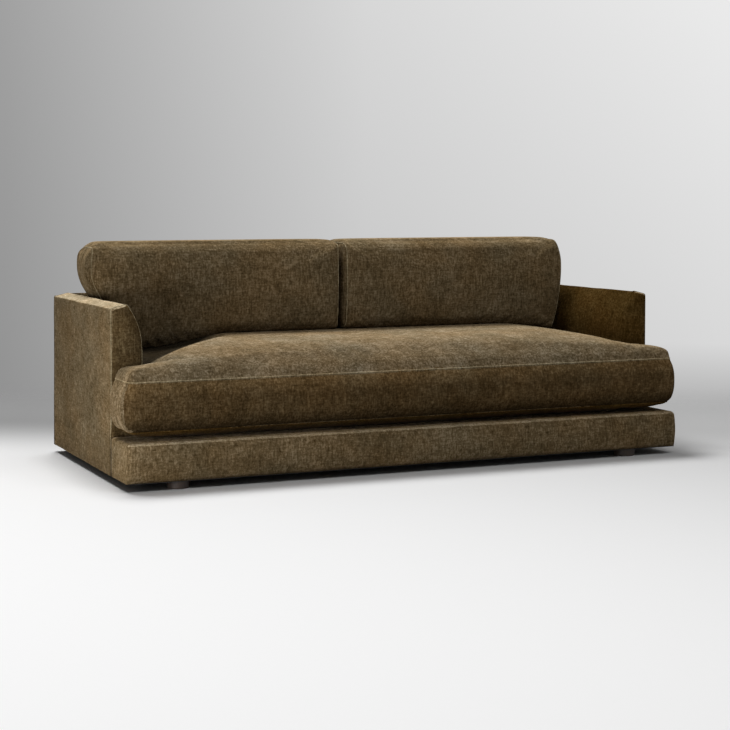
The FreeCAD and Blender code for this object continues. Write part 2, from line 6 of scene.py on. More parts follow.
import bmesh
import bpy
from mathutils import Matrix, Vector


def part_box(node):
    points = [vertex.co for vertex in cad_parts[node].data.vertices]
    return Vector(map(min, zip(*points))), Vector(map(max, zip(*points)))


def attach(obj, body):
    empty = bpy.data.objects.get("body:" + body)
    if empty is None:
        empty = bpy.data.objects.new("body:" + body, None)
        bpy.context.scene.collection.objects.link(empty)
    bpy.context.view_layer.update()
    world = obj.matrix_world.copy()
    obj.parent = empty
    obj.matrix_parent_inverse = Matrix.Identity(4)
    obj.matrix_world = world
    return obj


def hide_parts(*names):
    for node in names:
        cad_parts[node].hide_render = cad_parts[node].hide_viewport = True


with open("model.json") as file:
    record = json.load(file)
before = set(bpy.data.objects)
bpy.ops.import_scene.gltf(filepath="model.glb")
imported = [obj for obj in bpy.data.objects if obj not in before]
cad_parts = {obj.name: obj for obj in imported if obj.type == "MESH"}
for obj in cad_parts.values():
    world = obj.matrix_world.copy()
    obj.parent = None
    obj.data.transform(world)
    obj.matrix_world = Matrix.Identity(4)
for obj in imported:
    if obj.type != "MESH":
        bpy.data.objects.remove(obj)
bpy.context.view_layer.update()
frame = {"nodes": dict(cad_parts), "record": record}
nodes = frame["nodes"]
scene = bpy.context.scene
bpy.ops.object.select_all(action="DESELECT")

# Camera: a long lens a little above the cushions' tops, to the left of the front.
# It looks level and its lens is shifted down, so the sofa's uprights stay upright in the picture.
camera_place = (-2.5845, -5.8372, 0.9707)
camera_turn = -0.418
bpy.ops.object.camera_add(location=camera_place, rotation=(math.radians(90), 0, camera_turn))
camera = bpy.context.object
camera.data.sensor_width = 36
camera.data.lens = 82.8
camera.data.shift_y = -0.23
scene.camera = camera
scene.view_settings.view_transform = "Standard"

# Studio: a floor, white in front and greyer towards the back, where it runs out into a grey background.
# A broad light hangs high behind the sofa, a small one stands low near the left arm, and one hangs in front.
floor_bounce = (0.42, 0.41, 0.39, 1)
floor_slope = (-0.104, -0.037, 0.0)
floor_away = (0.4974, 0.8734, 0.0)
background_greys = ((0.0, 0.325), (0.5, 0.62), (1.0, 0.755))
air_light = (0.13, 0.13, 0.13, 1)
camera_right = (0.914, -0.406, 0.0)
rearward = (0.0, 1.0, 0.0)
upward = (0.0, 0.0, 1.0)
lights = [
    ("overhead_light", (-1.2, 2.5, 8.8), (0.0, 0.0, 0.3), 4.6, 3.2, 830),
    ("left_light", (-1.90, -1.20, 0.32), (-1.06, -0.42, 0.25), 0.9, 0.50, 14),
    ("front_light", (0.9, -3.8, 4.2), (0.1, 0.0, 0.4), 3.0, 1.6, 84),
]


def set_inputs(tree, node, inputs):
    """Sets a shader node's inputs, each to a value or linked to another node's output."""
    for name, value in inputs.items():
        if isinstance(value, bpy.types.NodeSocket):
            tree.links.new(value, node.inputs[name])
        else:
            node.inputs[name].default_value = value


def add_node(tree, kind, inputs, **settings):
    """Adds a shader node with its settings and inputs, and gives back its outputs."""
    made = tree.nodes.new("ShaderNode" + kind)
    for name, value in settings.items():
        setattr(made, name, value)
    set_inputs(tree, made, inputs)
    return made.outputs


def reckon(tree, operation, first, second):
    """One sum on two numbers."""
    return add_node(tree, "Math", {0: first, 1: second}, operation=operation)[0]


def dot(tree, point, direction):
    """How far a point lies along a direction."""
    return add_node(tree, "VectorMath", {0: point, 1: direction}, operation="DOT_PRODUCT")["Value"]


def scale_colour(tree, colour, share):
    """A colour times a number."""
    return add_node(tree, "VectorMath", {0: colour, "Scale": share}, operation="SCALE")[0]


def mix_colours(tree, share, first, second, how="MIX"):
    """Goes by a share from the first colour to the second, or to what it makes of the first."""
    return add_node(tree, "Mix", {0: share, 6: first, 7: second}, data_type="RGBA", blend_type=how)[2]


def ramp(tree, value, start, end, low=0.0, high=1.0, how="LINEAR"):
    """Goes from low to high as a value goes from start to end, and stays there beyond them."""
    inputs = {"Value": value, "From Min": start, "From Max": end, "To Min": low, "To Max": high}
    return add_node(tree, "MapRange", inputs, interpolation_type=how)["Result"]


def grey_ramp(tree, value, stops):
    """Greys along a value: each stop is a place, rising, and its grey."""
    made = tree.nodes.new("ShaderNodeValToRGB")
    set_inputs(tree, made, {"Fac": value})
    for stop in stops[1:-1]:
        made.color_ramp.elements.new(stop[0])
    for stop, (place, grey) in zip(made.color_ramp.elements, stops):
        stop.position = place
        stop.color = (grey, grey, grey, 1)
    return made.outputs["Color"]


def object_point(tree):
    """The place of a point on its piece."""
    return add_node(tree, "TexCoord", {})["Object"]


def seen_directly(tree):
    """1 for rays from the camera and for those that mirror or pass through, 0 for those that only light."""
    ray = add_node(tree, "LightPath", {})
    seen = ray["Is Camera Ray"]
    for kind in ("Is Glossy Ray", "Is Transmission Ray"):
        seen = reckon(tree, "MAXIMUM", seen, ray[kind])
    return seen


def new_material(name):
    """An empty material with its Principled shader, ready for nodes."""
    material = bpy.data.materials.new(name)
    material.use_nodes = True
    return material, material.node_tree, material.node_tree.nodes["Principled BSDF"]


scene.world = bpy.data.worlds.new("studio")
scene.world.use_nodes = True
air = scene.world.node_tree
direction = add_node(air, "TexCoord", {})["Generated"]
# The background is painted light and shade: darker to the left and lower down, with a painted shadow low on
# the right.
sideways = ramp(air, dot(air, direction, camera_right), -0.21, 0.21)
height = dot(air, direction, upward)
brighter_above = ramp(air, height, -0.14, 0.12, 0.86, 1.1)
low_right = reckon(air, "MULTIPLY", ramp(air, height, -0.085, -0.125), sideways)
level = reckon(air, "MULTIPLY", brighter_above, ramp(air, low_right, 0.0, 1.0, 1.0, 0.60))
wall = scale_colour(air, grey_ramp(air, sideways, background_greys), level)
set_inputs(air, air.nodes["Background"], {"Color": mix_colours(air, seen_directly(air), air_light, wall)})

bpy.ops.mesh.primitive_plane_add(size=40, location=(0, 0, 0))
floor = bpy.context.object
floor.name = "studio_floor"
floor_paint, tree, shader = new_material("studio_floor")
spot = object_point(tree)
away = dot(tree, spot, floor_away)
# Painted light: the floor's white is brighter towards the front left, and its grey darker to the left, as
# light falls.
white = ramp(tree, dot(tree, spot, floor_slope), -0.10, 0.34, 0.544, 0.984)
grey = ramp(tree, dot(tree, spot, camera_right), -1.5, 1.5, 0.25, 0.41)
shade = mix_colours(tree, ramp(tree, away, -0.21, 0.79, how="SMOOTHSTEP"), white, grey)
floor_finish = {
    "Base Color": mix_colours(tree, seen_directly(tree), floor_bounce, shade),
    "Alpha": ramp(tree, away, 0.9, 2.4, 1.0, 0.0, how="SMOOTHSTEP"),
    "Roughness": 0.9,
    "Specular IOR Level": 0.1,
}
set_inputs(tree, shader, floor_finish)
floor.data.materials.append(floor_paint)

# The low light passes the floor by, where it would leave a bright patch
off_the_floor = bpy.data.collections.new("off_the_floor")
off_the_floor.objects.link(floor)
off_the_floor.collection_objects[0].light_linking.link_state = "EXCLUDE"
for name, place, aim, width, depth, power in lights:
    turn = (Vector(aim) - Vector(place)).to_track_quat("-Z", "Y").to_euler()
    bpy.ops.object.light_add(type="AREA", location=place, rotation=turn)
    lamp = bpy.context.object
    lamp.name = name
    lamp.visible_camera = False
    lamp.data.shape = "RECTANGLE"
    lamp.data.size = width
    lamp.data.size_y = depth
    lamp.data.energy = power
    if name == "left_light":
        lamp.light_linking.receiver_collection = off_the_floor

# Timber frame: sawn pine rails and plywood boards, bare, glued and screwed together under the upholstery.
# The feet are turned from a hardwood and stained dark brown; each screws onto a zinc-plated hanger bolt.
pine_pale = (0.56, 0.38, 0.20, 1)
pine_dark = (0.40, 0.24, 0.11, 1)
stain_pale = (0.026, 0.014, 0.008, 1)
stain_dark = (0.010, 0.006, 0.004, 1)


def new_group(name, inputs, outputs):
    """An empty shader group, with the outputs of its input node and with its output node."""
    group = bpy.data.node_groups.new(name, "ShaderNodeTree")
    for way, sockets in (("INPUT", inputs), ("OUTPUT", outputs)):
        for label, kind in sockets.items():
            group.interface.new_socket(label, in_out=way, socket_type="NodeSocket" + kind)
    return group, group.nodes.new("NodeGroupInput").outputs, group.nodes.new("NodeGroupOutput")


def add_group(tree, group, inputs):
    """Places a shader group in a material with its own values, and gives back its outputs."""
    made = tree.nodes.new("ShaderNodeGroup")
    made.node_tree = group
    set_inputs(tree, made, inputs)
    return made.outputs


def bump(tree, height, strength, distance):
    """The normal of a surface that a height makes uneven."""
    return add_node(tree, "Bump", {"Height": height, "Strength": strength, "Distance": distance})["Normal"]


def noise(tree, place, scale, detail, rough=0.5):
    """The outputs of a cloudy noise at a place."""
    inputs = {"Vector": place, "Scale": scale, "Detail": detail, "Roughness": rough}
    return add_node(tree, "TexNoise", inputs)


def wood_group():
    """Growth rings drawn out along the grain, with fine pores, as colour, roughness and height."""
    group, given, result = new_group(
        "wood_grain",
        {"Vector": "Vector", "Pale": "Color", "Dark": "Color"},
        {"Colour": "Color", "Roughness": "Float", "Height": "Float"},
    )
    sway = noise(group, given["Vector"], 0.6, 2.0)["Color"]
    bent = add_node(group, "Mix", {0: 0.35, 4: given["Vector"], 5: sway}, data_type="VECTOR")[1]
    ring_shape = {"Vector": bent, "Scale": 1.1, "Distortion": 5.0, "Detail": 2.0}
    rings = add_node(group, "TexWave", ring_shape, bands_direction="Z")["Fac"]
    pores = noise(group, given["Vector"], 14.0, 3.0)["Fac"]
    grain = reckon(group, "MULTIPLY", rings, pores)
    tone = mix_colours(group, grain, given["Pale"], given["Dark"])
    rough = ramp(group, pores, 0.0, 1.0, 0.42, 0.7)
    set_inputs(group, result, {"Colour": tone, "Roughness": rough, "Height": grain})
    return group


wood_grain = wood_group()


def wood_material(name, stretch, pale, dark, coat):
    """Wood with its grain along the axis that is stretched least."""
    material, tree, shader = new_material(name)
    scaled = add_node(tree, "Mapping", {"Vector": object_point(tree), "Scale": stretch})[0]
    grain = add_group(tree, wood_grain, {"Vector": scaled, "Pale": pale, "Dark": dark})
    finish = {
        "Base Color": grain["Colour"],
        "Roughness": grain["Roughness"],
        "Normal": bump(tree, grain["Height"], 0.25, 0.001),
        "Coat Weight": coat,
        "Coat Roughness": 0.3,
    }
    set_inputs(tree, shader, finish)
    return material


def paint(piece, material):
    """Gives a piece one finish."""
    piece.data.materials.clear()
    piece.data.materials.append(material)


def finish_nodes(slot, material):
    """Gives every node of one of the record's material slots its finish."""
    for part in frame["record"]["subparts"]:
        if part["material_slot"] == slot:
            paint(nodes[part["node"]], material)


finish_nodes("frame_timber", wood_material("bare_pine", (3, 38, 38), pine_pale, pine_dark, 0.0))
finish_nodes("foot_wood", wood_material("dark_stained_wood", (60, 60, 9), stain_pale, stain_dark, 0.1))

# Steel parts: oiled spring wire with its clips and tie wires, and zinc-plated screws, bolts and tee nuts.
# The springs run from front to back between clips nailed to the rails.
wire_grey = (0.30, 0.30, 0.31, 1)
zinc_grey = (0.62, 0.63, 0.65, 1)
mark_dullness = 0.72


def steel_material(name, colour, rough_low, rough_high):
    """Plated or drawn steel with cloudy handling marks."""
    material, tree, shader = new_material(name)
    marks = noise(tree, object_point(tree), 160.0, 5.0)["Fac"]
    dull = tuple(mark_dullness * part for part in colour[:3]) + (1,)
    tone = mix_colours(tree, marks, dull, colour)
    rough = ramp(tree, marks, 0.0, 1.0, rough_low, rough_high)
    set_inputs(tree, shader, {"Base Color": tone, "Roughness": rough, "Metallic": 1.0})
    return material


finish_nodes("spring_steel", steel_material("oiled_spring_wire", wire_grey, 0.28, 0.5))
finish_nodes("zinc_steel", steel_material("zinc_plate", zinc_grey, 0.25, 0.45))

# Felt, hardboard and webbing: a needled felt pad over the springs, pressed board on the outside of each arm,
# and elastic straps up the inside of the back, all stapled to the timber.
felt_pale = (0.22, 0.22, 0.22, 1)
felt_dark = (0.10, 0.10, 0.10, 1)
board_pale = (0.30, 0.19, 0.10, 1)
board_dark = (0.17, 0.10, 0.05, 1)
strap_pale = (0.035, 0.035, 0.035, 1)
strap_dark = (0.008, 0.008, 0.008, 1)


def fibre_material(name, pale, dark, scale):
    """Matted fibres: a rough noise in colour and height."""
    material, tree, shader = new_material(name)
    fibres = noise(tree, object_point(tree), scale, 6.0, 0.75)["Fac"]
    tone = mix_colours(tree, fibres, dark, pale)
    normal = bump(tree, fibres, 0.4, 0.001)
    set_inputs(tree, shader, {"Base Color": tone, "Normal": normal, "Roughness": 0.95})
    return material


def weave_group():
    """Plain weave: threads over and under each other on all three planes, as colour and height."""
    group, given, result = new_group(
        "plain_weave",
        {"Pale": "Color", "Dark": "Color", "Threads": "Float"},
        {"Colour": "Color", "Height": "Float"},
    )
    spot = object_point(group)
    total = 0.0
    for axis in "XYZ":
        run = {"Vector": spot, "Scale": given["Threads"]}
        total = reckon(group, "ADD", total, add_node(group, "TexWave", run, bands_direction=axis)["Fac"])
    fuzz = noise(group, spot, 90.0, 4.0)["Fac"]
    threads = ramp(group, reckon(group, "MULTIPLY", total, fuzz), 0.2, 1.6)
    tone = mix_colours(group, threads, given["Dark"], given["Pale"])
    set_inputs(group, result, {"Colour": tone, "Height": threads})
    return group


plain_weave = weave_group()


def woven_material(name, pale, dark, threads):
    """Plain woven or spun cloth in its own colours and thread count."""
    material, tree, shader = new_material(name)
    weave = add_group(tree, plain_weave, {"Pale": pale, "Dark": dark, "Threads": threads})
    normal = bump(tree, weave["Height"], 0.35, 0.0005)
    set_inputs(tree, shader, {"Base Color": weave["Colour"], "Normal": normal, "Roughness": 0.9})
    return material


finish_nodes("felt", fibre_material("needled_felt", felt_pale, felt_dark, 420.0))
finish_nodes("hardboard", fibre_material("pressed_board", board_pale, board_dark, 260.0))
finish_nodes("webbing", woven_material("elastic_webbing", strap_pale, strap_dark, 160.0))

# Deck cloth and dust cover: a plain lining pulled tight over the felt under the seat cushion,
# and a thin black non-woven cloth stapled across the underside, which hangs slack between its edges.
deck_low, deck_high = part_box("deck_cloth")
under_low, under_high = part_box("dust_cover")
deck_thickness = 0.0016
deck_dip = 0.0004
spring_spacing = 0.11
dust_thickness = 0.0006
dust_slack = 0.004
lining_pale = (0.060, 0.046, 0.028, 1)
lining_dark = (0.022, 0.017, 0.010, 1)
dust_pale = (0.012, 0.012, 0.012, 1)
dust_dark = (0.004, 0.004, 0.004, 1)


def choose(piece):
    """Makes a piece the only one selected, and the active one."""
    bpy.ops.object.select_all(action="DESELECT")
    piece.select_set(True)
    bpy.context.view_layer.objects.active = piece


def add_modifier(piece, kind, **settings):
    """Adds a modifier with its settings."""
    made = piece.modifiers.new(kind.lower(), kind)
    for name, value in settings.items():
        setattr(made, name, value)
    return made


def apply_modifiers(piece):
    """Makes a piece's modifiers part of its mesh."""
    choose(piece)
    for modifier in list(piece.modifiers):
        bpy.ops.object.modifier_apply(modifier=modifier.name)


def add_cloth(low, high, columns, rows, thickness, height):
    """A cloth between two corners, at a height for each point, with its thickness."""
    bpy.ops.object.select_all(action="DESELECT")
    bpy.ops.mesh.primitive_grid_add(x_subdivisions=columns, y_subdivisions=rows, size=1)
    cloth = bpy.context.object
    cloth.scale = (high.x - low.x, high.y - low.y, 1)
    cloth.location = ((low.x + high.x) / 2, (low.y + high.y) / 2, 0)
    bpy.ops.object.transform_apply(location=True, rotation=True, scale=True)
    for corner in cloth.data.vertices:
        corner.co.z = height(corner.co)
    add_modifier(cloth, "SOLIDIFY", thickness=thickness, offset=0)
    apply_modifiers(cloth)
    return cloth


def dress(piece, name, material, body, slot, *stood_for):
    """Names a finished piece, gives it its finish, and fixes it to its body and the nodes it stands for."""
    piece.name = name
    piece.data.name = name
    paint(piece, material)
    choose(piece)
    bpy.ops.object.shade_smooth()
    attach(piece, body)
    if stood_for:
        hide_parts(*stood_for)


def deck_height(point):
    """The deck cloth dips slightly across the width, twice in each spacing of the springs."""
    return deck_high.z - 0.0013 - deck_dip * math.sin(2 * math.pi * point.x / spring_spacing) ** 2


def dust_height(point):
    """The dust cover hangs lowest in its middle."""
    across = 1 - (point.x / under_high.x) ** 2
    along = 1 - (point.y / under_high.y) ** 2
    return under_low.z + 0.0008 - dust_slack * across * along


deck = add_cloth(deck_low, deck_high, 110, 30, deck_thickness, deck_height)
deck_lining = woven_material("deck_lining", lining_pale, lining_dark, 110.0)
dress(deck, "deck_lining_cloth", deck_lining, "frame", "deck_lining", "deck_cloth")
dust = add_cloth(under_low, under_high, 80, 40, dust_thickness, dust_height)
black_dust_cloth = woven_material("black_dust_cloth", dust_pale, dust_dark, 60.0)
dress(dust, "underside_dust_cloth", black_dust_cloth, "frame", "dust_cloth", "dust_cover")

# Base cover: pile fabric pulled over foam on the base frame, with softly rounded top and front edges.
# It is sewn to the arm covers down each side and stapled under the rails.
base_low = Vector((-1.067, -0.507, 0.028))
base_high = Vector((1.067, -0.3055, 0.160))
base_edge_radius = 0.014
base_hem_radius = 0.004
base_bulge = 0.011
# How far each layer of the pile is drawn together along each axis, its detail and roughness, and its share
pile_layers = [
    ((7, 7, 9), 3.0, 0.55, 0.6),
    ((36, 36, 30), 4.0, 0.62, 0.5),
    ((135, 135, 135), 3.0, 0.6, 1.1),
    ((165, 165, 34), 3.0, 0.6, 1.3),
    ((40, 40, 165), 3.0, 0.6, 0.9),
    ((430, 430, 430), 2.0, 0.6, 0.8),
]
warm_dye = (1.04, 0.98, 0.90, 1)
cool_dye = (0.97, 1.0, 1.03, 1)
# Share of the colour left in the painted shadow beside the left arm
painted_shadow_share = 0.10


def pile_group():
    """Chenille pile: short streaks of brushed nap over soft blotches, as colour, roughness and height."""
    group, given, result = new_group(
        "chenille_pile",
        {"Shade": "Color", "Mid": "Color", "Light": "Color"},
        {"Colour": "Color", "Roughness": "Float", "Height": "Float"},
    )
    spot = object_point(group)

    def streaks(stretch, detail, rough):
        """A noise that is drawn together by its own amount along each axis."""
        scaled = add_node(group, "Mapping", {"Vector": spot, "Scale": stretch})[0]
        return noise(group, scaled, 1.0, detail, rough)["Fac"]

    total = 0.0
    for stretch, detail, rough, share in pile_layers:
        layer = reckon(group, "MULTIPLY", streaks(stretch, detail, rough), share)
        total = reckon(group, "ADD", total, layer)
    nap = ramp(group, total, 2.13, 3.07)
    dark = mix_colours(group, ramp(group, nap, 0.0, 0.5), given["Shade"], given["Mid"])
    tone = mix_colours(group, ramp(group, nap, 0.5, 1.0), dark, given["Light"])
    dye = mix_colours(group, ramp(group, streaks((5, 5, 6), 3.0, 0.6), 0.35, 0.65), warm_dye, cool_dye)
    dyed = mix_colours(group, 1.0, tone, dye, "MULTIPLY")
    rough = ramp(group, nap, 0.0, 1.0, 0.95, 0.78)
    set_inputs(group, result, {"Colour": dyed, "Roughness": rough, "Height": nap})
    return group


chenille = pile_group()


def pile_material(name, shade, mid, light, painted_sheen, painted_shadow=None, painted_shading=None):
    """A finish of the same chenille in its own colours, with a painted sheen: the colour grows lighter, up to
    the gain given, where the cloth is seen edge-on.

    A painted shadow darkens the colour where the left arm's shadow falls: a direction, where along it that
    starts and ends, and its front.
    Painted shading darkens the colour by height, as where less light falls: rising heights, each with the
    share of the colour there.
    """
    material, tree, shader = new_material(name)
    pile = add_group(tree, chenille, {"Shade": (*shade, 1), "Mid": (*mid, 1), "Light": (*light, 1)})
    # Painted sheen: the colour is made lighter where the cloth is seen edge-on.
    facing = add_node(tree, "LayerWeight", {"Blend": 0.5})["Facing"]
    colour = scale_colour(tree, pile["Colour"], ramp(tree, facing, 0.55, 1.0, 1.0, painted_sheen))
    # Painted shadow: the colour darkens where the left arm's shadow falls on the seat.
    if painted_shadow:
        towards, start, end, front = painted_shadow
        spot = object_point(tree)
        deep = ramp(tree, dot(tree, spot, towards), start, end)
        behind = ramp(tree, dot(tree, spot, rearward), front, front + 0.05)
        shadow_mask = reckon(tree, "MULTIPLY", deep, behind)
        colour = scale_colour(tree, colour, ramp(tree, shadow_mask, 0.0, 1.0, 1.0, painted_shadow_share))
    # Painted shading: lower parts darker, as where less light reaches them.
    if painted_shading:
        shares = grey_ramp(tree, dot(tree, object_point(tree), upward), painted_shading)
        colour = add_node(tree, "VectorMath", {0: colour, 1: shares}, operation="MULTIPLY")[0]
    finish = {
        "Base Color": colour,
        "Roughness": pile["Roughness"],
        "Normal": bump(tree, pile["Height"], 0.5, 0.0012),
        "Specular IOR Level": 0.0,
        "Sheen Weight": 0.02,
        "Sheen Roughness": 0.3,
        "Sheen Tint": (1.0, 0.93, 0.82, 1),
    }
    set_inputs(tree, shader, finish)
    return material


# Every copy of the pile below has a painted sheen: its last number is the gain where the cloth is seen
# edge-on.
olive_pile = pile_material(
    "olive_pile", (0.046, 0.031, 0.0135), (0.113, 0.080, 0.041), (0.230, 0.176, 0.108), 2.2
)
# A darker, more saturated copy of the pile, as painted shade where little light falls: the arms' inner faces,
# the right arm's front and the seat's underside.
shaded_pile = pile_material(
    "shaded_pile", (0.024, 0.0125, 0.0025), (0.054, 0.030, 0.0075), (0.105, 0.064, 0.022), 1.3
)
# A lighter copy of the pile, as a painted highlight on the arms' tops and the base's top front edge.
highlight_pile = pile_material(
    "highlight_pile", (0.13, 0.095, 0.052), (0.27, 0.21, 0.13), (0.46, 0.38, 0.26), 1.8
)


def paint_light_on_faces(piece, pile, test):
    """Gives the faces that pass a test another copy of the pile, lighter or darker, as painted light or
    shade; the test takes a face's centre and normal.
    """
    piece.data.materials.append(pile)
    for face in piece.data.polygons:
        if test(face.center, face.normal):
            face.material_index = len(piece.data.materials) - 1


def pick(kind, test):
    """In edit mode, selects only the vertices, edges or faces whose every corner passes the test."""
    bpy.ops.mesh.select_mode(type=kind)
    bpy.ops.mesh.select_all(action="DESELECT")
    shape = bmesh.from_edit_mesh(bpy.context.object.data)
    for part in {"VERT": shape.verts, "EDGE": shape.edges, "FACE": shape.faces}[kind]:
        corners = [part] if kind == "VERT" else part.verts
        part.select_set(all(test(corner.co) for corner in corners))
    shape.select_flush_mode()
    bmesh.update_edit_mesh(bpy.context.object.data)


def pick_along(axis, test):
    """In edit mode, selects only the edges that run along one axis and whose first end passes the test."""
    bpy.ops.mesh.select_mode(type="EDGE")
    bpy.ops.mesh.select_all(action="DESELECT")
    shape = bmesh.from_edit_mesh(bpy.context.object.data)
    for edge in shape.edges:
        run = edge.verts[1].co - edge.verts[0].co
        edge.select_set(abs(run[axis]) > 0.999 * run.length and test(edge.verts[0].co))
    bmesh.update_edit_mesh(bpy.context.object.data)


def cut_along(axis, cuts):
    """In edit mode, splits every edge that runs along one axis into equal lengths."""
    pick_along(axis, lambda point: True)
    bpy.ops.mesh.subdivide(number_cuts=cuts)


def move_points(place):
    """In edit mode, moves every point as a function changes its place."""
    shape = bmesh.from_edit_mesh(bpy.context.object.data)
    for corner in shape.verts:
        place(corner.co)
    bmesh.update_edit_mesh(bpy.context.object.data)


def round_edges(radius, segments):
    """In edit mode, rounds the selected edges."""
    bpy.ops.mesh.bevel(offset=radius, segments=segments, affect="EDGES")


def add_block(low, high):
    """A block between two corners, in edit mode and ready to shape."""
    bpy.ops.object.select_all(action="DESELECT")
    bpy.ops.mesh.primitive_cube_add(size=1, location=(low + high) / 2, scale=high - low)
    bpy.ops.object.transform_apply(location=True, rotation=True, scale=True)
    bpy.ops.object.mode_set(mode="EDIT")
    return bpy.context.object


def soften(piece, spread, depth):
    """Leaves edit mode and gives a padded piece the slight unevenness of foam under cloth."""
    bpy.ops.object.mode_set(mode="OBJECT")
    padding = bpy.data.textures.new(piece.name + "_padding", "CLOUDS")
    padding.noise_scale = spread
    add_modifier(piece, "DISPLACE", texture=padding, texture_coords="LOCAL", strength=depth, mid_level=0.5)
    apply_modifiers(piece)


def on_base_edge(point):
    """Points where two of the base's top, front and ends meet."""
    at_top = point.z > base_high.z - 0.001
    at_front = point.y < base_low.y + 0.0005
    at_side = abs(point.x) > base_high.x - 0.001
    return at_top + at_front + at_side >= 2


def bulge_base(point):
    """Swells the base's front between its top and its bottom."""
    height = (2 * point.z - base_low.z - base_high.z) / (base_high.z - base_low.z)
    if point.y < base_low.y + base_edge_radius:
        point.y -= base_bulge * (1 - height ** 2)


base = add_block(base_low, base_high)
pick("EDGE", on_base_edge)
round_edges(base_edge_radius, 6)
pick("EDGE", lambda point: point.z < base_low.z + 0.001 and point.y < base_low.y + 0.001)
round_edges(base_hem_radius, 2)
for axis, cuts in enumerate((80, 5, 5)):
    cut_along(axis, cuts)
move_points(bulge_base)
soften(base, 0.16, 0.004)
dress(base, "base_upholstery", olive_pile, "frame", "pile_fabric", "base_cover", "base_pad")
# Painted highlight: the base's rounded top front edge gets the lighter copy of the pile.
paint_light_on_faces(base, highlight_pile, lambda centre, normal: normal.z > 0.6 and normal.y < -0.2)

# Arms: a thin padded arm at each end, flat outside, with an inner face that curves in towards a sharp crest.
# The cover runs over the top and down to the rails; the front panel is sewn in with a narrow welt.
arm_low = Vector((-1.067, -0.308, 0.160))
arm_high = Vector((-0.957, 0.5045, 0.606))
arm_thickness = 0.110
arm_skirt = -1.0505
arm_cuts = (arm_skirt, -1.030, -1.006, -0.982)
crest_start = 0.450
crest_radius = 0.255
crest_fall = 0.014
crest_edge_radius = 0.005
arm_edge_top = 0.587
arm_rim_top = 0.588
arm_front_bulge = 0.020
arm_bulge_start = 0.39
arm_bulge_run = 0.05
arm_front_radius = 0.011
# A copy of the pile between the plain and the shaded one, as painted shade for the left arm's front panel.
shaded_front_pile = pile_material(
    "shaded_front_pile", (0.026, 0.016, 0.0062), (0.063, 0.042, 0.0190), (0.130, 0.094, 0.048), 1.6
)


def portion(value):
    """A number kept between 0 and 1."""
    return min(1.0, max(0.0, value))


def crest_depth(z):
    """Thickness of an arm or of the back at a height: full below the crest curve, thinner up to the top."""
    rise = max(0.0, z - crest_start)
    return arm_thickness - crest_radius + math.sqrt(crest_radius ** 2 - rise ** 2)


def cut_plane(place, normal, **settings):
    """In edit mode, cuts a line through the whole mesh where a plane meets it."""
    bpy.ops.mesh.select_all(action="SELECT")
    bpy.ops.mesh.bisect(plane_co=place, plane_no=normal, **settings)


def slice_heights(low, high):
    """In edit mode, cuts level lines through the mesh: even below the crest curve, closer along it."""
    straight = [low + (crest_start - low) * step / 10 for step in range(1, 11)]
    whole_turn = math.asin((high - crest_start) / crest_radius)
    curved = [crest_start + crest_radius * math.sin(whole_turn * step / 8) for step in range(1, 7)]
    for z in straight + curved:
        cut_plane((0, 0, z), (0, 0, 1))


def shape_arm(point):
    """Thins the arm along its crest curve, swells its front and lets its top fall outwards."""
    share = (point.x - arm_low.x) / arm_thickness
    point.x = arm_low.x + share * crest_depth(point.z)
    if point.y < arm_low.y + 0.001:
        above_ear = portion((point.z - arm_bulge_start) / arm_bulge_run)
        point.y -= arm_front_bulge * above_ear * 4 * share * (1 - share)
    if point.z > arm_high.z - 0.001:
        point.z -= crest_fall * (1 - share)


def on_arm_rim(point):
    """Points on the edge of the arm's front face, above the base."""
    outer = point.x < arm_low.x + 0.001
    inner = point.x > arm_low.x + crest_depth(point.z) - 0.001
    on_top = point.z > arm_rim_top
    return point.y < arm_low.y + 0.001 and point.z > arm_low.z + 0.01 and (outer or inner or on_top)


def on_arm_top_edge(point):
    """Points on the outer and inner edges of the arm's top."""
    outer = point.x < arm_low.x + 0.001 and point.z > arm_edge_top
    return outer or point.z > arm_high.z - 0.0005


def face_outwards():
    """Turns all the active piece's faces outwards."""
    bpy.ops.object.mode_set(mode="EDIT")
    bpy.ops.mesh.select_all(action="SELECT")
    bpy.ops.mesh.normals_make_consistent(inside=False)
    bpy.ops.object.mode_set(mode="OBJECT")


left_arm = add_block(arm_low, arm_high)
cut_along(1, 30)
for x in arm_cuts:
    cut_plane((x, 0, 0), (1, 0, 0))
slice_heights(arm_low.z, arm_high.z)
move_points(shape_arm)
pick("FACE", lambda point: point.z < arm_low.z + 0.001 and point.x < arm_skirt + 0.0005)
bpy.ops.mesh.extrude_region_move(TRANSFORM_OT_translate={"value": (0, 0, base_low.z - arm_low.z)})
pick("VERT", lambda point: point.z < arm_low.z - 0.001 and point.y < arm_low.y + 0.001)
bpy.ops.transform.translate(value=(0, base_high.y - arm_low.y, 0))
pick("EDGE", on_arm_top_edge)
round_edges(crest_edge_radius, 3)
pick("EDGE", on_arm_rim)
round_edges(arm_front_radius, 4)
soften(left_arm, 0.15, 0.0035)

bpy.ops.object.duplicate()
right_arm = bpy.context.object
right_arm.scale.x = -1
bpy.ops.object.transform_apply(location=False, rotation=False, scale=True)
face_outwards()
for arm, hand in ((left_arm, "left"), (right_arm, "right")):
    covers = [hand + "_arm_cover", hand + "_arm_front_panel", hand + "_arm_pad"]
    dress(arm, hand + "_arm_upholstery", olive_pile, "frame", "pile_fabric", *covers)
    # Painted light on each arm: the lighter copy on its top, the shaded copy on its inner face, and shade
    # painted on its front panel, darker on the right arm.
    paint_light_on_faces(arm, highlight_pile, lambda centre, normal: normal.z > 0.7)
    paint_light_on_faces(arm, shaded_pile, lambda centre, normal: normal.x * centre.x < -0.3)
    paint_light_on_faces(arm, shaded_front_pile if hand == "left" else shaded_pile, lambda centre, normal: normal.y < -0.6)

